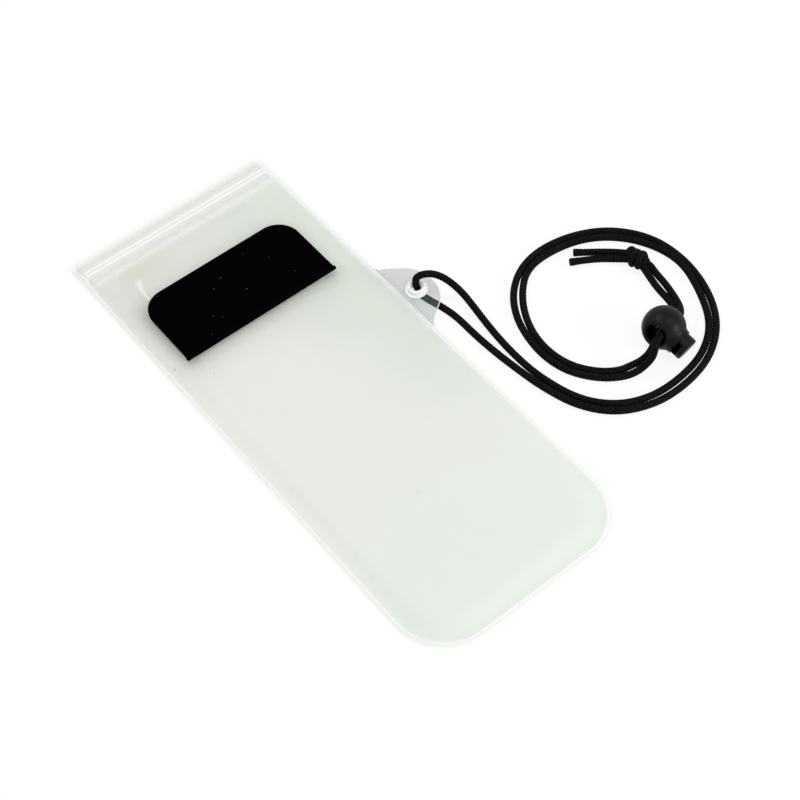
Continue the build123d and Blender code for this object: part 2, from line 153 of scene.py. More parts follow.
# The eyelet's middle, and the tab's outline from the film's edge round and back, with y from the eyelet.
EYELET = (55.6, 16.2)
TAB_CORNERS = [
    (51.02, -17.6), (52.0, -16.2), (55.1, -14.0), (58.0, -12.1), (60.6, -10.3), (62.3, -7.2),
    (63.5, -3.4), (63.8, 0.6), (63.3, 4.7), (61.9, 8.6), (59.3, 12.2), (55.9, 15.0),
    (52.7, 17.6), (51.8, 18.8), (51.02, 24.4),
]
TAB_EDGE = 51.0                 # x of the pouch's edge, where the tab steps up
TAB_HOLE = 2.8                  # radius of the eyelet's hole in it
TAB_RISE = 3.4                  # height of the step
TAB_STEEP = math.radians(82.0)  # slope of the step
TAB_SLOPE = math.radians(5.0)   # slope of the tab beyond it
TAB_BENDS = (0.5, 0.6)          # radii of the bends at the step's foot and top
TAB_STRIDE = 0.02               # from point to point along the bent line

# Specks of dust on the flap and dark ones on the film: x, y and radius in millimetres.
DUST = [
    (-5.2, 73.8, 0.28), (-10.7, 70.7, 0.28), (-0.1, 61.8, 0.3), (-31.4, 82.9, 0.24), (-19.5, 59.0, 0.22),
    (-16.8, 56.0, 0.22), (17.6, 69.8, 0.2), (-25.6, 51.2, 0.22), (9.8, 78.3, 0.18), (21.5, 56.5, 0.17),
]
FILM_SPECKS = [
    (-45.9, 50.1, 0.3), (-35.2, 36.6, 0.34), (-31.6, 8.1, 0.24), (-25.4, 3.5, 0.24),
    (-25.2, -15.7, 0.24), (-7.3, -61.3, 0.3),
]

# Darker, warmer spots of the film: x, y and radius in millimetres. The small one beside the crease is
# painted shadow.
WARM_SPOTS = [(-27.0, 103.0, 20.0), (-37.0, 85.5, 7.0)]

# The cord lock in millimetres: the ball's middle, and the way its plunger points.
LOCK_AT = (118.1, -67.7, 9.2)
LOCK_AXIS = (0.1165, -0.9489, -0.2932)
# Walls nearer the lock's middle than these reaches get painted shade.
BALL_INSIDE = 8.6               # walls nearer its middle than this are darkened on the ball
PLUNGER_INSIDE = 12.0           # and on the plunger

# The floor lies a little under the object, and the lamps look at a point beside its middle, in metres.
FLOOR_Z = -0.00005
LOOKED_AT = (0.03, 0.0, 0.0)
LAMP_DISTANCE = 1.0


class FilmSettings(bpy.types.PropertyGroup):
    """Sizes and colours of the film pouch."""
    width: FloatProperty(name="Width", description="Pouch, across", default=0.102, unit="LENGTH")
    length: FloatProperty(name="Length", description="Pouch, mouth to bottom", default=0.25, unit="LENGTH")
    corner: FloatProperty(name="Corner", description="Radius of the bottom corners", default=0.024,
                          unit="LENGTH")
    alpha: FloatProperty(name="Cover", description="How much one face of the film covers", default=0.24,
                         min=0.0, max=1.0, subtype="FACTOR")
    plain: FloatVectorProperty(name="Plain tint", description="Film colour, middle of the pouch",
                               default=(0.81, 0.85, 0.775), subtype="COLOR", size=3)
    cool: FloatVectorProperty(name="Cool tint", description="Film colour, towards the bottom",
                              default=(0.79, 0.875, 0.79), subtype="COLOR", size=3)
    green: FloatVectorProperty(name="Green tint", description="Film colour, mouth's right side",
                               default=(0.69, 0.775, 0.66), subtype="COLOR", size=3)
    warm: FloatVectorProperty(name="Warm tint", description="Film colour, mouth's left side",
                              default=(0.74, 0.755, 0.68), subtype="COLOR", size=3)
    spot_tint: FloatVectorProperty(name="Old tint", description="Film colour, yellowed spots",
                             default=(0.63, 0.61, 0.45), subtype="COLOR", size=3)
    tab: FloatVectorProperty(name="Tab tint", description="Film colour, eyelet tab",
                             default=(0.12, 0.185, 0.14), subtype="COLOR", size=3)
    tab_alpha: FloatProperty(name="Tab cover", description="How much one face of the tab covers",
                             default=0.112, min=0.0, max=1.0, subtype="FACTOR")


class CordSettings(bpy.types.PropertyGroup):
    """Sizes and colours of the braided cord."""
    diameter: FloatProperty(name="Diameter", description="Cord, across", default=0.00315, unit="LENGTH")
    strands: IntProperty(name="Strands", description="Strands of the braid each way", default=8)
    pitch: FloatProperty(name="Pitch", description="Length of one crossing", default=0.00078, unit="LENGTH")
    relief: FloatProperty(name="Relief", description="Height of the braid", default=0.00013, unit="LENGTH")
    colour: FloatVectorProperty(name="Colour", description="Yarn", default=(0.0022, 0.0022, 0.0023),
                                subtype="COLOR", size=3)


class HardwareSettings(bpy.types.PropertyGroup):
    """Colours of the flap, eyelet, zip and cord lock."""
    flap: FloatVectorProperty(name="Flap", description="Glossy black", default=(0.0004, 0.0005, 0.0005),
                              subtype="COLOR", size=3)
    eyelet: FloatVectorProperty(name="Eyelet", description="Milky white", default=(0.84, 0.87, 0.865),
                                subtype="COLOR", size=3)
    zip: FloatVectorProperty(name="Zip", description="Milky strips", default=(0.85, 0.87, 0.835),
                             subtype="COLOR", size=3)
    lock: FloatVectorProperty(name="Lock", description="Satin black", default=(0.0016, 0.0018, 0.0018),
                              subtype="COLOR", size=3)
    spring: FloatVectorProperty(name="Spring", description="Steel wire", default=(0.55, 0.55, 0.56),
                                subtype="COLOR", size=3)


class Value:
    """A shader socket that can be used in sums; each sum adds its Math nodes."""

    def __init__(self, nodes, socket):
        self.nodes = nodes
        self.socket = socket

    def maths(self, operation, *values):
        return self.nodes.node("ShaderNodeMath", {"operation": operation}, dict(enumerate(values)))

    def __add__(self, other):
        return self.maths("ADD", self, other)

    def __radd__(self, other):
        return self.maths("ADD", other, self)

    def __sub__(self, other):
        return self.maths("SUBTRACT", self, other)

    def __rsub__(self, other):
        return self.maths("SUBTRACT", other, self)

    def __mul__(self, other):
        return self.maths("MULTIPLY", self, other)

    def __rmul__(self, other):
        return self.maths("MULTIPLY", other, self)

    def __truediv__(self, other):
        return self.maths("DIVIDE", self, other)

    def sine(self):
        return self.maths("SINE", self)

    def absolute(self):
        return self.maths("ABSOLUTE", self)

    def larger(self, other):
        return self.maths("MAXIMUM", self, other)

    def root(self):
        return self.maths("SQRT", self)

    def fading(self, length):
        """1 at 0, falling away over about a length."""
        return self.maths("EXPONENT", self * (-1.0 / length))

    def ramp(self, start, end):
        """0 at start and 1 at end, eased at both."""
        return self.nodes.node("ShaderNodeMapRange", {"interpolation_type": "SMOOTHSTEP"},
                               {0: self, 1: start, 2: end, 3: 0.0, 4: 1.0})

    def near(self, middle, inner, outer):
        """1 within inner of the middle, and 0 past outer."""
        return 1.0 - (self - middle).absolute().ramp(inner, outer)

    def band(self, rise, fall):
        """1 from a rise to a fall and 0 on both sides; each is a start and an end."""
        return self.ramp(*rise) * (1.0 - self.ramp(*fall))


def plan_distance(x, y, px, py):
    """Distance in plan from a place, in millimetres."""
    across = x - px
    along = y - py
    return (across * across + along * along).root()


class Nodes:
    """A node tree and the one way that nodes are added to it."""

    def __init__(self, tree):
        self.tree = tree

    def node(self, kind, settings=None, inputs=None, output=0):
        """Adds a node: its settings first, then the values or links of its sockets."""
        made = self.tree.nodes.new(kind)
        for name, value in (settings or {}).items():
            setattr(made, name, value)
        for name, value in (inputs or {}).items():
            if isinstance(value, Value):
                self.tree.links.new(value.socket, made.inputs[name])
            else:
                made.inputs[name].default_value = value
        return Value(self, made.outputs[output])

    def seen_directly(self):
        """1 for what the camera sees, also in a gloss or through something clear."""
        camera, gloss, clear = (self.node("ShaderNodeLightPath", output=f"Is {kind} Ray")
                                for kind in ("Camera", "Glossy", "Transmission"))
        return camera.larger(gloss).larger(clear)

    def show(self, plain, seen, share, output):
        """Feeds the output with one shader, and with another by a share where it is seen directly."""
        share = self.seen_directly() * share
        mixed = self.node("ShaderNodeMixShader", inputs={0: share, 1: plain, 2: seen})
        self.tree.links.new(mixed.socket, self.tree.nodes[output].inputs["Surface"])


class Finish(Nodes):
    """A material and the nodes that give its finish."""

    def __init__(self, name, **constants):
        self.material = bpy.data.materials.new(name)
        self.material.use_nodes = True
        super().__init__(self.material.node_tree)
        self.surface = self.tree.nodes["Principled BSDF"]
        for socket, value in constants.items():
            self.surface.inputs[socket.replace("_", " ")].default_value = value

    def place(self, axis=None):
        """Object coordinates in metres, or one of them in millimetres."""
        found = self.node("ShaderNodeTexCoord", output="Object")
        if axis is None:
            return found
        return self.node("ShaderNodeSeparateXYZ", inputs={0: found}, output=axis) / MM

    def noise(self, size, detail=2.0):
        """Noise from 0 to 1 whose lumps are about size metres wide."""
        return self.node("ShaderNodeTexNoise", inputs={
            "Vector": self.place(), "Scale": 1.0 / size, "Detail": detail})

    def spots(self, places, inner=0.5, outer=1.2):
        """1 on round spots, given by x, y and radius, that fade from inner to outer times the radius."""
        x = self.place("X")
        y = self.place("Y")
        found = 0.0
        for px, py, radius in places:
            away = plan_distance(x, y, px, py)
            found = (1.0 - away.ramp(radius * inner, radius * outer)).larger(found)
        return found

    def mix(self, factor, first, second):
        """A colour between two colours."""
        colours = [c if isinstance(c, Value) else (*c, 1.0) for c in (first, second)]
        return self.node("ShaderNodeMix", {"data_type": "RGBA"}, {0: factor, 6: colours[0], 7: colours[1]},
                         output=2)

    def bump(self, height, distance, strength=1.0):
        """Feeds a relief whose height from 0 to 1 stands for a distance in metres."""
        made = self.node("ShaderNodeBump", inputs={"Height": height, "Distance": distance,
                                                  "Strength": strength})
        self.feed("Normal", made)

    def feed(self, socket, value):
        self.tree.links.new(value.socket, self.surface.inputs[socket])


def deselect():
    bpy.ops.object.select_all(action="DESELECT")


def activate(piece):
    deselect()
    piece.select_set(True)
    bpy.context.view_layer.objects.active = piece


def apply_modifier(piece, kind, **settings):
    """Adds a modifier with its settings and applies it."""
    activate(piece)
    modifier = piece.modifiers.new(kind.title(), kind)
    for name, value in settings.items():
        setattr(modifier, name, value)
    bpy.ops.object.modifier_apply(modifier=modifier.name)


def smooth(piece, angle):
    activate(piece)
    bpy.ops.object.shade_smooth_by_angle(angle=math.radians(angle))


def dress(piece, finish, body, slot, *nodes):
    """Gives a piece its finish and the body it rides on, and hides the nodes it stands for; its slot is not
    used.
    """
    piece.data.materials.clear()
    piece.data.materials.append(finish.material)
    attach(piece, body)
    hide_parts(*nodes)
    return piece


def merged_copy(node, name):
    """A copy of a solid's mesh with its loose triangles joined and its flat faces made whole."""
    piece = bpy.data.objects.new(name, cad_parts[node].data.copy())
    bpy.context.scene.collection.objects.link(piece)
    activate(piece)
    bpy.ops.object.mode_set(mode="EDIT")
    bpy.ops.mesh.select_all(action="SELECT")
    bpy.ops.mesh.remove_doubles(threshold=0.002 * MM)
    bpy.ops.mesh.customdata_custom_splitnormals_clear()
    bpy.ops.mesh.dissolve_limited(angle_limit=math.radians(0.3))
    bpy.ops.object.mode_set(mode="OBJECT")
    return piece


def dressed_solid(node, name, finish, body, slot, edges=None, smooth_angle=35.0):
    """A dressed copy of a solid, with edges rounded by a width, in segments, past an angle."""
    piece = merged_copy(node, name)
    if edges:
        width, segments, angle = edges
        apply_modifier(piece, "BEVEL", width=width * MM, segments=segments, limit_method="ANGLE",
                       angle_limit=math.radians(angle))
    smooth(piece, smooth_angle)
    return dress(piece, finish, body, slot, node)


def shaded(colour, share):
    """A colour made darker or lighter by a share."""
    return tuple(part * share for part in colour)


def eased(value):
    """0 below 0, 1 above 1, and a smooth rise between."""
    value = min(1.0, max(0.0, value))
    return value * value * (3.0 - 2.0 * value)


def between(first, last, count):
    return [first + (last - first) * k / count for k in range(count)]


# Camera and stage

class PHONECASE_OT_camera(bpy.types.Operator):
    """Sets the camera where the photograph was taken from"""
    bl_idname = "phone_case.camera"
    bl_label = "Camera"

    def execute(self, context):
        # The axes and the place that fit the pouch's straight edges in the photograph.
        right = Vector((0.7797607, -0.62543399, -0.02838263))
        up = Vector((0.52239101, 0.62496603, 0.58010783))
        back = Vector((-0.34508098, -0.46717212, 0.81404504))
        place = Matrix((right, up, back)).transposed().to_4x4()
        place.translation = Vector((-0.229609, -0.354060, 0.579556))
        data = bpy.data.cameras.new("Camera")
        data.lens = 78.79
        data.sensor_width = 36.0
        data.clip_start = 0.01
        data.clip_end = 20.0
        camera = bpy.data.objects.new("Camera", data)
        camera.matrix_world = place
        context.scene.collection.objects.link(camera)
        context.scene.camera = camera
        return {"FINISHED"}


def lamp(name, direction, size, power):
    """A square soft lamp that looks at the object from a direction."""
    data = bpy.data.lights.new(name, "AREA")
    data.size = size
    data.energy = power
    made = bpy.data.objects.new(name, data)
    away = Vector(direction).normalized()
    made.location = Vector(LOOKED_AT) + away * LAMP_DISTANCE
    made.rotation_mode = "QUATERNION"
    made.rotation_quaternion = away.to_track_quat("Z", "Y")
    bpy.context.scene.collection.objects.link(made)


def surroundings():
    """A world that gives pale light from all round and is seen as plain white."""
    world = bpy.data.worlds.new("Surroundings")
    world.use_nodes = True
    nodes = Nodes(world.node_tree)
    white = (1.0, 1.0, 1.0, 1.0)
    light = nodes.node("ShaderNodeBackground", inputs={"Color": white, "Strength": 0.62})
    seen = nodes.node("ShaderNodeBackground", inputs={"Color": white, "Strength": 1.0})
    nodes.show(light, seen, 1.0, "World Output")
    return world


def pale_floor():
    """A floor that takes soft shadows, and is lit up for a good part where it is seen."""
    deselect()
    bpy.ops.mesh.primitive_plane_add(size=8.0, location=(0.0, 0.0, FLOOR_Z))
    floor = bpy.context.object
    floor.name = "floor"
    finish = Finish("Pale floor", Base_Color=(0.95, 0.95, 0.95, 1.0), Roughness=0.9,
                    Specular_IOR_Level=0.0)
    plain = Value(finish, finish.surface.outputs[0])
    glow = finish.node("ShaderNodeEmission", inputs={"Strength": 1.0})
    finish.show(plain, glow, 0.88, "Material Output")
    floor.data.materials.append(finish.material)
    return floor


class PHONECASE_OT_stage(bpy.types.Operator):
    """Adds the white floor, the soft lamps and the pale surroundings"""
    bl_idname = "phone_case.stage"
    bl_label = "Stage"

    def execute(self, context):
        context.scene.view_settings.view_transform = "Standard"
        context.scene.world = surroundings()
        lamp("Back lamp", (-0.12, 0.46, 0.88), size=0.30, power=2.5)
        lamp("Front lamp", (0.33, -0.36, 0.87), size=0.30, power=1.4)
        lamp("Side lamp", (0.46, -0.83, 0.32), size=0.42, power=4.6)
        pale_floor()
        return {"FINISHED"}


# Cord

def nurbs_line(route):
    """Points along the smooth line that a route's control points give."""
    curve = bpy.data.curves.new("line", "CURVE")
    curve.dimensions = "3D"
    curve.resolution_u = 24
    spline = curve.splines.new("NURBS")
    spline.points.add(len(route) - 1)
    for point, place in zip(spline.points, route):
        point.co = (*place, 1.0)
    spline.order_u = 3
    spline.use_endpoint_u = True
    holder = bpy.data.objects.new("line", curve)
    bpy.context.scene.collection.objects.link(holder)
    mesh = bpy.data.meshes.new_from_object(holder.evaluated_get(bpy.context.evaluated_depsgraph_get()))
    points = [v.co.copy() for v in mesh.vertices]
    bpy.data.objects.remove(holder)
    bpy.data.curves.remove(curve)
    bpy.data.meshes.remove(mesh)
    return points


def evenly(points, step):
    """The same line with its points a step apart, and its length."""
    lengths = [0.0]
    for a, b in zip(points, points[1:]):
        lengths.append(lengths[-1] + (b - a).length)
    count = max(4, round(lengths[-1] / step))
    even = []
    k = 0
    for n in range(count + 1):
        goal = lengths[-1] * n / count
        while k < len(points) - 2 and lengths[k + 1] < goal:
            k += 1
        run = lengths[k + 1] - lengths[k]
        share = (goal - lengths[k]) / run if run else 0.0
        even.append(points[k].lerp(points[k + 1], min(1.0, share)))
    return even, lengths[-1]


def braid_height(eyelet_shadow, along, strands):
    """Height from 0 to 1 of a braid, by how many strands round and how many crossings along."""
    first = eyelet_shadow * strands + along
    second = eyelet_shadow * strands - along
    over = (math.floor(first) + math.floor(second)) % 2
    across = (first if over else second) % 1.0
    length = (second if over else first) % 1.0
    return math.sin(math.pi * across) ** 0.7 * (0.55 + 0.45 * math.sin(math.pi * length))


def end_width(left, radius, flare):
    """How much wider a cord stands near its cut end, where the last rim is drawn in again."""
    if not flare:
        return 1.0
    flare_run = 3.0 * radius
    rim_run = 0.25 * radius
    rim_share = 0.86
    wide = 1.0 + flare * max(0.0, 1.0 - left / flare_run)
    if left < rim_run:
        wide *= rim_share + (1.0 - rim_share) * left / rim_run
    return wide


def braid_rings(mesh, line, length, settings, flare, sides):
    """Rings of vertices round the points of a line, at the heights of the braid."""
    radius = settings.diameter / 2.0
    side = (line[1] - line[0]).normalized().orthogonal().normalized()
    rings = []
    for k, centre in enumerate(line):
        ahead = (line[min(k + 1, len(line) - 1)] - line[max(k - 1, 0)]).normalized()
        side = (side - ahead * side.dot(ahead)).normalized()
        other = ahead.cross(side)
        along = length * k / (len(line) - 1)
        wide = end_width(length - along, radius, flare)
        ring = []
        for n in range(sides):
            turn = n / sides
            angle = 2.0 * math.pi * turn
            lift = braid_height(turn, along / settings.pitch / 2.0, settings.strands)
            reach = (radius - settings.relief * (1.0 - lift)) * wide
            outward = side * math.cos(angle) + other * math.sin(angle)
            ring.append(mesh.verts.new(centre + outward * reach))
        rings.append(ring)
    return rings


def braided_tube(name, points, settings, flare=0.0, sides=32, step=0.00024):
    """A closed tube along points whose wall carries the relief of a braid."""
    line, length = evenly(points, step)
    radius = settings.diameter / 2.0
    mesh = bmesh.new()
    uv = mesh.loops.layers.uv.new("Weave")
    rings = braid_rings(mesh, line, length, settings, flare, sides)
    for k in range(len(rings) - 1):
        for n in range(sides):
            m = (n + 1) % sides
            face = mesh.faces.new((rings[k][n], rings[k][m], rings[k + 1][m], rings[k + 1][n]))
            face.smooth = True
            corners = ((n, k), (n + 1, k), (n + 1, k + 1), (n, k + 1))
            for loop, (u, v) in zip(face.loops, corners):
                loop[uv].uv = (u / sides * 2.0 * math.pi * radius, v * length / (len(rings) - 1))
    mesh.faces.new(list(reversed(rings[0])))
    mesh.faces.new(rings[-1])
    data = bpy.data.meshes.new(name)
    mesh.to_mesh(data)
    mesh.free()
    piece = bpy.data.objects.new(name, data)
    bpy.context.scene.collection.objects.link(piece)
    return piece, line


def cord_finish(settings):
    """Black yarn: fine fibres along the strands, a little paler on their crests as a painted glint."""
    finish = Finish("Braided yarn", Specular_IOR_Level=0.05)
    weave = finish.node("ShaderNodeUVMap", {"uv_map": "Weave"})
    parts = finish.node("ShaderNodeSeparateXYZ", inputs={0: weave})
    length = finish.node("ShaderNodeSeparateXYZ", inputs={0: weave}, output=1)
    waves = 42000.0
    fibres = ((parts + length) * waves).sine() * 0.5 + ((parts - length) * waves).sine() * 0.5
    round_by = parts * (settings.strands / settings.diameter)
    cross = length * (math.pi / 2.0 / settings.pitch)
    crest = (round_by + cross).sine().absolute() * (round_by - cross).sine().absolute()
    fuzz = finish.noise(0.0007, 3.0)
    # Painted glints: the yarn is paler on the crests where the fuzz is high.
    pale = shaded(settings.colour, 9.0)
    glint = crest.ramp(0.35, 0.9) * fuzz.ramp(0.42, 0.66)
    finish.feed("Base Color", finish.mix(glint, settings.colour, pale))
    finish.feed("Roughness", 0.52 + fuzz * 0.25)
    finish.bump(fibres * 0.25 + fuzz, 0.00006, 0.8)
    return finish


class PHONECASE_OT_cords(bpy.types.Operator):
    """Makes the two strands, from the eyelet to their cut ends, and the knot in them"""
    bl_idname = "phone_case.cords"
    bl_label = "Cords"

    def execute(self, context):
        settings = context.scene.phone_case_cord
        finish = cord_finish(settings)
        knot = knot_piece(settings)
        dress(knot, finish, CASE, "cord", "cord_knot")
        for name, route, nodes in (
                ("cord_upper_strand", UPPER_ROUTE + LONG_TAIL, ("neck_cord_upper", "cord_tail_long")),
                ("cord_lower_strand", LOWER_ROUTE + SHORT_TAIL, ("neck_cord_lower", "cord_tail_short"))):
            piece, line = braided_tube(name, nurbs_line(route), settings, 0.12)
            dress(piece, finish, CASE, "cord", *nodes)
            length = sum((b - a).length for a, b in zip(line, line[1:]))
            [tuple(p) for p in line]
        return {"FINISHED"}


def knot_piece(settings):
    """An overhand knot in both strands: each goes in, wraps round the pair and comes out."""
    forward = Vector((math.cos(KNOT_HEADING), math.sin(KNOT_HEADING), 0.0))
    up = Vector((0.0, 0.0, 1.0))
    side = forward.cross(up)
    centre = Vector(KNOT_AT)

    def at(along, angle, reach):
        """A place in the knot: along it, and out from its middle line at an angle."""
        turn = math.radians(angle)
        out = side * math.cos(turn) + up * math.sin(turn)
        return centre + (forward * along + out * reach) * MM

    pieces = []
    for phase, start, way_in, way_out in ((0.0, -3.0, UPPER_ROUTE[-1], LONG_TAIL[0]),
                                          (35.0, 0.1, LOWER_ROUTE[-1], SHORT_TAIL[0])):
        line = [Vector(way_in), at(-3.2, phase - 60, 1.2)]
        for k in range(KNOT_STEPS + 1):
            lean = KNOT_LEAN * math.sin(math.radians(phase + KNOT_TURN * k))
            reach = KNOT_REACH + KNOT_BELLY * math.sin(math.pi * k / KNOT_STEPS)
            line.append(at(start + KNOT_RISE * k + lean, phase - 20 + KNOT_TURN * k, reach))
        line += [at(2.6, phase + 60, 1.1), Vector(way_out)]
        piece, _ = braided_tube(f"knot_strand_{len(pieces)}", nurbs_line(line), settings)
        pieces.append(piece)
    deselect()
    for piece in pieces:
        piece.select_set(True)
    bpy.context.view_layer.objects.active = pieces[0]
    bpy.ops.object.join()
    knot = bpy.context.object
    knot.name = "cord_overhand_knot"
    return knot


# Film

def film_plan(settings):
    """The insets of U-shaped lines, and each line's points in plan from the mouth round to the mouth."""
    half_width = settings.width / MM / 2.0
    half_length = settings.length / MM / 2.0
    corner = settings.corner / MM
    zip_end = 16.0
    swell_end = 88.0

    # Rows down to the swelling's end, and steps past it, round a corner and along half the bottom.
    rows = between(0.0, LIP, 12) + between(LIP, zip_end, 48) + between(zip_end, swell_end, 60)
    loose = 24
    arc = 14
    half_bottom = 13

    # Lines stand close together near the edge, where the weld and the shoulder are.
    near_edge = 10.0
    inner_lines = 27
    insets = [0.0, 0.25, 0.8, 1.3, 1.5, 1.62, 1.75, 1.88, 2.0, 2.2, 2.6, 3.0, 3.35, 3.8, 4.4, 5.0, 5.7,
              6.4, 7.1, 7.8, 8.5, 9.2, near_edge]
    insets += [near_edge + (half_width - near_edge) * (k + 1) / inner_lines for k in range(inner_lines)]

    def half_line(inset):
        """The left half of one U-shaped line, from the mouth to the middle of the bottom."""
        if inset <= near_edge:
            radius = corner - inset
        else:
            radius = (corner - near_edge) * (half_width - inset) / (half_width - near_edge)
        x = half_width - inset
        turn_y = inset + radius - half_length
        start = half_length - rows[-1] - (rows[-1] - rows[-2])
        points = [(-x, half_length - row) for row in rows]
        points += [(-x, start + (turn_y - start) * k / loose) for k in range(loose)]
        for k in range(arc):
            angle = math.pi + math.pi / 2.0 * k / arc
            points.append((radius - x + radius * math.cos(angle), turn_y + radius * math.sin(angle)))
        reach = radius - x
        for k in range(half_bottom + 1):
            points.append((reach * (1.0 - k / half_bottom), inset - half_length))
        return points

    lines = []
    for inset in insets:
        left = half_line(inset)
        lines.append(left + [(-x, y) for x, y in reversed(left[:-1])])
    return insets, lines


def swell_share(x, y):
    """How far up the swelling under the flap a point stands, from 0 to 1."""
    cx, cy, half_x, half_y, radius = SWELL
    dx = max(abs(x - cx) - (half_x - radius), 0.0)
    dy = max(abs(y - cy) - (half_y - radius), 0.0)
    outside = math.hypot(dx, dy) - radius
    return 1.0 - eased(outside / SWELL_RUN)


def ripple(x, y):
    """The slight unevenness of a sheet that was rolled up and laid flat, in millimetres."""
    return (0.05 * math.sin(x / 17.0 + 0.6) * math.sin(y / 29.0 + 1.1)
            + 0.02 * math.sin(x / 13.0 - y / 27.0 + 2.0) + 0.02 * math.sin(x / 31.0 + y / 19.0))


def front_height(x, y, inset):
    """Height of the front sheet's upper face."""
    from_mouth = MOUTH - y
    run = SHOULDER + (ZIP_SHOULDER - SHOULDER) * eased((y - ZIP_SHOULDER_FROM) / ZIP_SHOULDER_OVER)
    rise = eased((inset - WELD) / run)
    top = PANEL_TOP
    if from_mouth < LIP:
        top = LIP_TOP + (PANEL_TOP - LIP_TOP) * (from_mouth / LIP)
    height = RIM_TOP + (top - RIM_TOP) * rise
    if from_mouth > 1.0:
        height += RIDGE_RISE * max(0.0, 1.0 - ((inset - RIDGE_IN) / RIDGE_HALF) ** 2)
    inner = min(1.0, max(0.0, (inset - WELD) / 2.0))
    for middle, half, lift in ZIP_RIDGES:
        height += lift * math.exp(-((y - middle) / half) ** 2) * inner
    swell = swell_share(x, y)
    uneven = eased((inset - RIPPLE_IN) / RIPPLE_OVER) * eased((from_mouth - RIPPLE_BELOW) / RIPPLE_OVER)
    return height + SWELL_HEIGHT * swell + ripple(x, y) * (uneven * (1.0 - swell))


def mapped_grid(name, columns, rows, place, inset):
    """A grid whose points are moved by place(column, row), in millimetres, with their inset kept."""
    deselect()
    bpy.ops.mesh.primitive_grid_add(x_subdivisions=columns, y_subdivisions=rows, size=1.0)
    piece = bpy.context.object
    piece.name = name
    insets = piece.data.attributes.new("Inset", "FLOAT", "POINT").data
    for vertex in piece.data.vertices:
        column = round((vertex.co.x + 0.5) * columns)
        row = round((vertex.co.y + 0.5) * rows)
        vertex.co = Vector(place(column, row)) * MM
        insets[vertex.index].value = inset(column, row)
    merge = 0.0005 * MM
    bpy.ops.object.mode_set(mode="EDIT")
    bpy.ops.mesh.select_all(action="SELECT")
    bpy.ops.mesh.remove_doubles(threshold=merge)
    bpy.ops.mesh.dissolve_degenerate(threshold=merge)
    bpy.ops.mesh.normals_make_consistent(inside=False)
    bpy.ops.object.mode_set(mode="OBJECT")
    if sum(face.normal.z for face in piece.data.polygons) < 0.0:
        bpy.ops.object.mode_set(mode="EDIT")
        bpy.ops.mesh.flip_normals()
        bpy.ops.object.mode_set(mode="OBJECT")
    return piece


def tab_profile():
    """The bent line of the tab's underside: x, z and angle at even steps of its length."""
    crease, bend = TAB_BENDS
    first = crease * math.tan(TAB_STEEP / 2.0)
    last = bend * math.tan((TAB_STEEP - TAB_SLOPE) / 2.0)
    rise = TAB_RISE / math.sin(TAB_STEEP)
    root = 0.4
    beyond = 14.0
    runs = [(root, 0.0, 0.0), (crease * TAB_STEEP, 0.0, TAB_STEEP),
            (rise - first - last, TAB_STEEP, TAB_STEEP),
            (bend * (TAB_STEEP - TAB_SLOPE), TAB_STEEP, TAB_SLOPE), (beyond, TAB_SLOPE, TAB_SLOPE)]
    x = TAB_EDGE - root
    z = 0.0
    points = []
    for length, start, end in runs:
        count = round(length / TAB_STRIDE)
        for k in range(count):
            angle = start + (end - start) * (k + 0.5) / count
            points.append((x, z, angle))
            x += length / count * math.cos(angle)
            z += length / count * math.sin(angle)
    return points


def tab_outline():
    """The tab's outline in plan as a list of points, its corners cut twice to a soft curve."""
    points = [Vector(corner) for corner in TAB_CORNERS]
    for cut in range(2):
        softer = [points[0]]
        for here, ahead in zip(points, points[1:]):
            softer += [here.lerp(ahead, 0.25), here.lerp(ahead, 0.75)]
        points = softer + [points[-1]]
    return [(p.x, p.y + EYELET[1]) for p in points]


def ray_reach(outline, start, angle):
    """Distance from a point inside the outline to it in a direction."""
    dx = math.cos(angle)
    dy = math.sin(angle)
    slack = 0.001
    best = math.inf
    for (x0, y0), (x1, y1) in zip(outline, outline[1:] + outline[:1]):
        nx, ny = y1 - y0, x0 - x1
        speed = dx * nx + dy * ny
        if speed <= 1e-9:
            continue
        reach = ((x0 - start[0]) * nx + (y0 - start[1]) * ny) / speed
        x = start[0] + reach * dx
        y = start[1] + reach * dy
        share = ((x - x0) * (x1 - x0) + (y - y0) * (y1 - y0)) / (nx * nx + ny * ny)
        if reach > 0.0 and -slack < share < 1.0 + slack:
            best = min(best, reach)
    return best


def tab_sheet(name, low, high):
    """One layer of the tab between two heights over its underside, with the eyelet's hole."""
    profile = tab_profile()
    xs = [point[0] for point in profile]

    def along(x):
        """Length along the bent line where it stands over x, found among every fifth point."""
        return TAB_STRIDE * min(range(0, len(xs), 5), key=lambda k: abs(xs[k] - x))

    plan = [(along(x), y) for x, y in tab_outline()]
    start = (along(EYELET[0]), EYELET[1])
    columns = 144
    rows = 40
    reaches = [ray_reach(plan, start, 2.0 * math.pi * column / columns) for column in range(columns + 1)]

    def place(column, row):
        """A point of the layer's lower face, on a ray from the eyelet."""
        angle = 2.0 * math.pi * column / columns
        reach = TAB_HOLE + (reaches[column] - TAB_HOLE) * row / rows
        spot = round((start[0] + reach * math.cos(angle)) / TAB_STRIDE)
        x, z, turn = profile[min(len(profile) - 1, max(0, spot))]
        return (x - low * math.sin(turn), start[1] + reach * math.sin(angle), z + low * math.cos(turn))

    def inset(column, row):
        """Distance in from the tab's cut edge."""
        return (reaches[column] - TAB_HOLE) * (1.0 - row / rows)

    piece = mapped_grid(name, columns, rows, place, inset)
    apply_modifier(piece, "SOLIDIFY", thickness=(high - low) * MM, offset=1.0)
    return piece


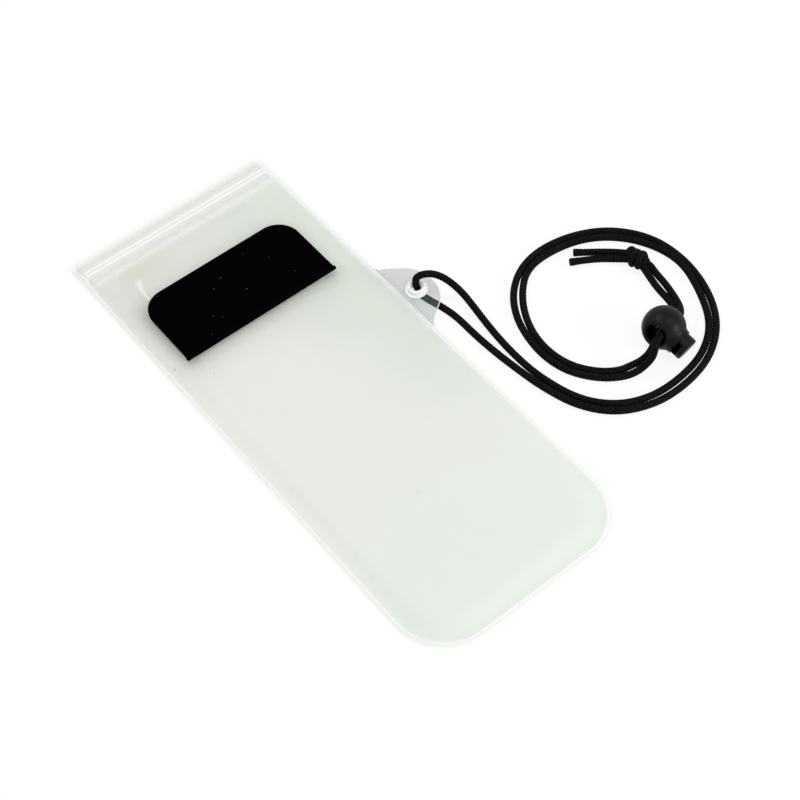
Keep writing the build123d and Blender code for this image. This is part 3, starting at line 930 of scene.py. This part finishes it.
def film_tint(finish, settings, x, y):
    """The film's colour by place: greener at the bottom, warmer on the left and greener on the right
    towards the mouth, with darker warm spots.
    """
    right = x.ramp(-25.0, 48.0)
    wander = finish.noise(0.05, 2.0).ramp(0.3, 0.7) * 24.0
    body = finish.mix((y + wander).ramp(-MOUTH, -30.0), settings.cool, settings.plain)
    mouth = finish.mix(right, settings.warm, settings.green)
    towards_mouth = (y + right * 95.0 + wander).ramp(25.0, MOUTH)
    # The small warm spot beside the crease is painted shadow.
    warmer = finish.spots(WARM_SPOTS, 0.2, 1.0) * 0.45
    return finish.mix(warmer, finish.mix(towards_mouth, body, mouth), settings.spot_tint)


def painted_flap_shadow(x, y):
    """How dark the painted shadow round the flap is on the film: most along the hinge."""
    cx, cy, half_x, half_y, radius = FLAP_BOX
    across = ((x - cx).absolute() - (half_x - radius)).larger(0.0)
    along = ((y - cy).absolute() - (half_y - radius)).larger(0.0)
    away = ((across * across + along * along).root() - radius).larger(0.0)
    hinge = 1.0 - y.ramp(cy - half_y - 2.0, cy - half_y + 5.0)
    left = 1.0 - x.ramp(cx - half_x - 2.0, cx - half_x + 4.0)
    return away.fading(2.8) * 0.24 + away.fading(4.2) * hinge * 0.26 + away.fading(2.2) * left * 0.16


def crease_highlight(x, y):
    """How bright the painted highlight along the crease beside the flap is: an arc that widens towards its
    upper end.
    """
    cx, cy, radius = CREASE
    half = 1.1 + y.ramp(84.0, 97.0) * 1.4
    arc = ((plan_distance(x, y, cx, cy) - radius) / half).near(0.0, 0.1, 1.0)
    return arc * (1.0 - x.ramp(*CREASE_RIGHT)) * y.band(*CREASE_ENDS) * 0.8


def zip_lines(y, inner, outer):
    """1 on the zip's two bright lines, fading from inner to outer beside them."""
    lines = 0.0
    for track in ZIP_TRACKS:
        lines = y.near(track, inner, outer).larger(lines)
    return lines


def film_finish(settings):
    """Clear soft film, faintly frosted: tinted in the bulk, whiter and clearer at the welded rim."""
    finish = Finish("Frosted film", IOR=1.5, Specular_IOR_Level=0.25)
    x = finish.place("X")
    y = finish.place("Y")
    inset = finish.node("ShaderNodeAttribute", {"attribute_name": "Inset"}, output="Fac")
    tab = x.ramp(TAB_EDGE - 0.05, TAB_EDGE + 0.15)
    case = 1.0 - tab
    rim = (1.0 - inset.ramp(2.2, 3.1)) * case
    inner = (1.0 - rim) * case
    ridge = inset.near(RIDGE_IN, 0.2, 0.7) * case
    cut = (1.0 - inset.ramp(0.2, 0.6)) * tab
    tracks = zip_lines(y, 0.2, 0.8) * inner
    # crease is the painted highlight along the crease beside the flap.
    crease = crease_highlight(x, y)
    # shade is the painted shadow round the flap.
    shade = painted_flap_shadow(x, y) * case * (1.0 - crease)
    specks = finish.spots(FILM_SPECKS)

    # The film's own white and dirt, and the colours of its painted highlights (bright) and painted shadow
    # (shadow).
    white = (0.95, 0.965, 0.945)
    bright = (1.0, 1.0, 0.99)
    shadow = (0.06, 0.07, 0.06)
    dirt = (0.12, 0.12, 0.11)
    zipped = (y.ramp(*ZIP_WHITER) - y.ramp(*ZIP_LESS_WHITE) * 0.75) * inner
    body = finish.mix(zipped * 0.85, film_tint(finish, settings, x, y), white)
    body = finish.mix(rim * 0.4, body, white)
    # Painted shadow round the flap, darkest along its hinge.
    body = finish.mix(shade, body, shadow)
    body = finish.mix(tab, body, settings.tab)
    # Painted highlights: lighter lines on the weld's ridge, the zip's tracks, the crease and the tab's cut
    # edge.
    body = finish.mix(ridge.larger(tracks).larger(crease).larger(cut), body, bright)
    finish.feed("Base Color", finish.mix(specks * 0.8, body, dirt))
    finish.feed("Roughness", 0.34 - tracks * 0.12)

    # The film covers less at its edges, at the mouth and over the strips, and more on the weld's ridge and
    # the specks, and where highlights and shadows are painted.
    edge = inset.ramp(-0.3, 1.4) * (1.0 - y.ramp(*MOUTH_FADES) * 0.93)
    cover = (settings.alpha - rim * 0.03) * (0.2 + edge * 0.8) * case + tab * settings.tab_alpha
    cover = cover * (1.0 - y.band(*STRIPS_SHOW) * inner * 0.8 - y.band(*VEIL) * inner * 0.1)
    # Painted shadow round the eyelet: the dark tab film covers more there.
    eyelet_shadow = (1.0 - plan_distance(x, y, *EYELET).ramp(4.4, 8.0)) * tab
    raised = ridge * 0.06 + crease * 0.2 + shade * 0.3 + cut * 0.25 + eyelet_shadow * 0.03 + specks * 0.4
    finish.feed("Alpha", cover + raised)
    return finish


class PHONECASE_OT_film(bpy.types.Operator):
    """Makes the two film sheets with their weld, shoulder, zip ridges, swelling and tab"""
    bl_idname = "phone_case.film"
    bl_label = "Film"

    def execute(self, context):
        settings = context.scene.phone_case_film
        insets, lines = film_plan(settings)
        columns = len(lines[0]) - 1
        rows = len(insets) - 1
        finish = film_finish(settings)

        def front(column, row):
            x, y = lines[row][column]
            return (x, y, front_height(x, y, insets[row]))

        def back(column, row):
            x, y = lines[row][column]
            return (x, y, FILM - FILM_GAP)

        sheets = (("film_front", "front_sheet", front, (FILM + FILM_GAP, RIM_TOP - 2.0 * FILM_GAP)),
                  ("film_back", "back_sheet", back, (2.0 * FILM_GAP, FILM - FILM_GAP)))
        for name, node, place, layer in sheets:
            piece = mapped_grid(name, columns, rows, place, lambda column, row: insets[row])
            apply_modifier(piece, "SOLIDIFY", thickness=(FILM - FILM_GAP) * MM, offset=-1.0)
            tab = tab_sheet(name + "_tab", *layer)
            activate(piece)
            tab.select_set(True)
            bpy.ops.object.join()
            smooth(piece, 40.0)
            dress(piece, finish, CASE, "film", node)
        return {"FINISHED"}


# Zip, flap, eyelet and cord lock

class PHONECASE_OT_zip(bpy.types.Operator):
    """Dresses the two zip strips between the sheets"""
    bl_idname = "phone_case.zip"
    bl_label = "Zip"

    def execute(self, context):
        settings = context.scene.phone_case_hardware
        finish = Finish("Milky zip strip", IOR=1.5, Emission_Strength=1.0)
        haze = finish.noise(0.004, 2.0)
        # The track lines are a painted highlight: the rest of the strip is a little darker.
        plain = finish.mix(haze, shaded(settings.zip, 0.86), shaded(settings.zip, 0.84))
        lines = zip_lines(finish.place("Y"), 0.4, 0.9)
        finish.feed("Base Color", finish.mix(lines, plain, settings.zip))
        finish.feed("Roughness", 0.3 + haze * 0.15)

        # Below its top face the strip has a painted glow, standing in for light that is scattered inside
        # it.
        dark = (0.0, 0.0, 0.0)
        glow = (0.19, 0.20, 0.18)
        below = 1.0 - finish.place("Z").ramp(ZIP_TOP - 0.2, ZIP_TOP - 0.08)
        finish.feed("Emission Color", finish.mix(below, dark, glow))
        for node, name in (("zip_rib_strip", "zip_ribs"), ("zip_groove_strip", "zip_grooves")):
            dressed_solid(node, name, finish, CASE, "zip", edges=(0.05, 1, 40.0))
        return {"FINISHED"}


class PHONECASE_OT_flap(bpy.types.Operator):
    """Dresses the glossy black closure flap, with its soft edges and dust"""
    bl_idname = "phone_case.flap"
    bl_label = "Flap"

    def execute(self, context):
        settings = context.scene.phone_case_hardware
        finish = Finish("Glossy black", IOR=1.5, Specular_IOR_Level=0.006)
        grey = (0.20, 0.21, 0.20)
        dust = finish.spots(DUST) * finish.noise(0.0004, 2.0).ramp(0.25, 0.6)
        finish.feed("Base Color", finish.mix(dust * 0.6, settings.flap, grey))
        finish.feed("Roughness", 0.16 + finish.noise(0.02, 2.0) * 0.08 + dust * 0.5)
        finish.bump(finish.noise(0.014, 2.0), 0.00012, 0.35)
        dressed_solid("closure_flap", "flap_plate", finish, FLAP, "flap", edges=(0.16, 3, 30.0),
                      smooth_angle=30.0)
        return {"FINISHED"}


class PHONECASE_OT_eyelet(bpy.types.Operator):
    """Dresses the milky eyelet and its washer"""
    bl_idname = "phone_case.eyelet"
    bl_label = "Eyelet"

    def execute(self, context):
        settings = context.scene.phone_case_hardware
        finish = Finish("Milky plastic", IOR=1.5, Emission_Strength=1.0)
        cloud = finish.noise(0.003, 3.0)
        finish.feed("Base Color", finish.mix(cloud, settings.eyelet, shaded(settings.eyelet, 0.96)))
        finish.feed("Roughness", 0.3 + cloud * 0.15)
        finish.feed("Alpha", 0.7 + cloud * 0.1)

        # The milky plastic has a painted glow, standing in for the light that is scattered inside it.
        faint = (0.11, 0.12, 0.12)
        glow = (0.14, 0.15, 0.15)
        finish.feed("Emission Color", finish.mix(cloud, faint, glow))
        finish.bump(finish.noise(0.0012, 2.0), 0.00003, 0.4)
        for node, name in (("eyelet_collar", "eyelet_ring"), ("eyelet_washer", "eyelet_back_ring")):
            dressed_solid(node, name, finish, CASE, "eyelet", edges=(0.12, 2, 35.0))
        return {"FINISHED"}


def paint_inner_shade(piece, finish, reach):
    """Gives the walls of the lock's bore, cord hole and slot painted shade: a second, plain black material.
    """
    piece.data.materials.append(finish.material)
    centre = Vector(LOCK_AT)
    axis = Vector(LOCK_AXIS).normalized()
    for face in piece.data.polygons:
        arm = face.center / MM - centre
        out = (arm - axis * arm.dot(axis)).normalized().dot(face.normal)
        if out < 0.3 and arm.length < reach:
            face.material_index = 1


class PHONECASE_OT_lock(bpy.types.Operator):
    """Dresses the cord lock's ball, plunger and spring"""
    bl_idname = "phone_case.lock"
    bl_label = "Cord lock"

    def execute(self, context):
        settings = context.scene.phone_case_hardware
        finish = Finish("Satin black", IOR=1.5, Specular_IOR_Level=0.13)
        grain = finish.noise(0.0006, 3.0)
        cloud = finish.noise(0.006, 2.0)
        finish.feed("Base Color", finish.mix(cloud, settings.lock, shaded(settings.lock, 1.5)))
        finish.feed("Roughness", 0.36 + cloud * 0.1)
        finish.bump(grain, 0.00004, 0.35)
        # Painted shade for the inner walls of the bore, cord hole and slot.
        inside = Finish("Unlit black", Specular_IOR_Level=0.0, Roughness=0.9)
        inside.feed("Base Color", inside.mix(inside.noise(0.002), settings.flap, settings.lock))
        for node, name, body, reach in (("cord_lock_body", "lock_ball", CASE, BALL_INSIDE),
                                        ("cord_lock_plunger", "lock_plunger", PLUNGER, PLUNGER_INSIDE)):
            piece = dressed_solid(node, name, finish, body, "lock", smooth_angle=32.0)
            paint_inner_shade(piece, inside, reach)

        steel = Finish("Spring wire", Metallic=1.0)
        drawn = steel.noise(0.0005, 2.0)
        steel.feed("Base Color", steel.mix(drawn, settings.spring, shaded(settings.spring, 0.8)))
        steel.feed("Roughness", 0.28 + drawn * 0.15)
        dressed_solid("cord_lock_spring", "lock_spring", steel, CASE, "spring", smooth_angle=50.0)
        return {"FINISHED"}


STEPS = (PHONECASE_OT_camera, PHONECASE_OT_cords, PHONECASE_OT_film, PHONECASE_OT_zip, PHONECASE_OT_flap,
         PHONECASE_OT_eyelet, PHONECASE_OT_lock, PHONECASE_OT_stage)


class PHONECASE_PT_panel(bpy.types.Panel):
    """Lists the steps that dress the phone case"""
    bl_idname = "PHONECASE_PT_panel"
    bl_label = "Phone case"
    bl_space_type = "VIEW_3D"
    bl_region_type = "UI"
    bl_category = "Phone case"

    def draw(self, context):
        for step in STEPS:
            self.layout.operator(step.bl_idname)
        for group in SETTINGS:
            settings = getattr(context.scene, group)
            for name in settings.__annotations__:
                self.layout.prop(settings, name)


SETTINGS = {"phone_case_film": FilmSettings, "phone_case_cord": CordSettings,
            "phone_case_hardware": HardwareSettings}
CLASSES = (*SETTINGS.values(), *STEPS, PHONECASE_PT_panel)


def register():
    for made in CLASSES:
        bpy.utils.register_class(made)
    for name, group in SETTINGS.items():
        setattr(bpy.types.Scene, name, PointerProperty(type=group))


def unregister():
    for name in SETTINGS:
        delattr(bpy.types.Scene, name)
    for made in reversed(CLASSES):
        bpy.utils.unregister_class(made)


def main():
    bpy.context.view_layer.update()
    register()
    for step in STEPS:
        group, name = step.bl_idname.split(".")
        getattr(getattr(bpy.ops, group), name)()


if __name__ == "__main__":
    main()
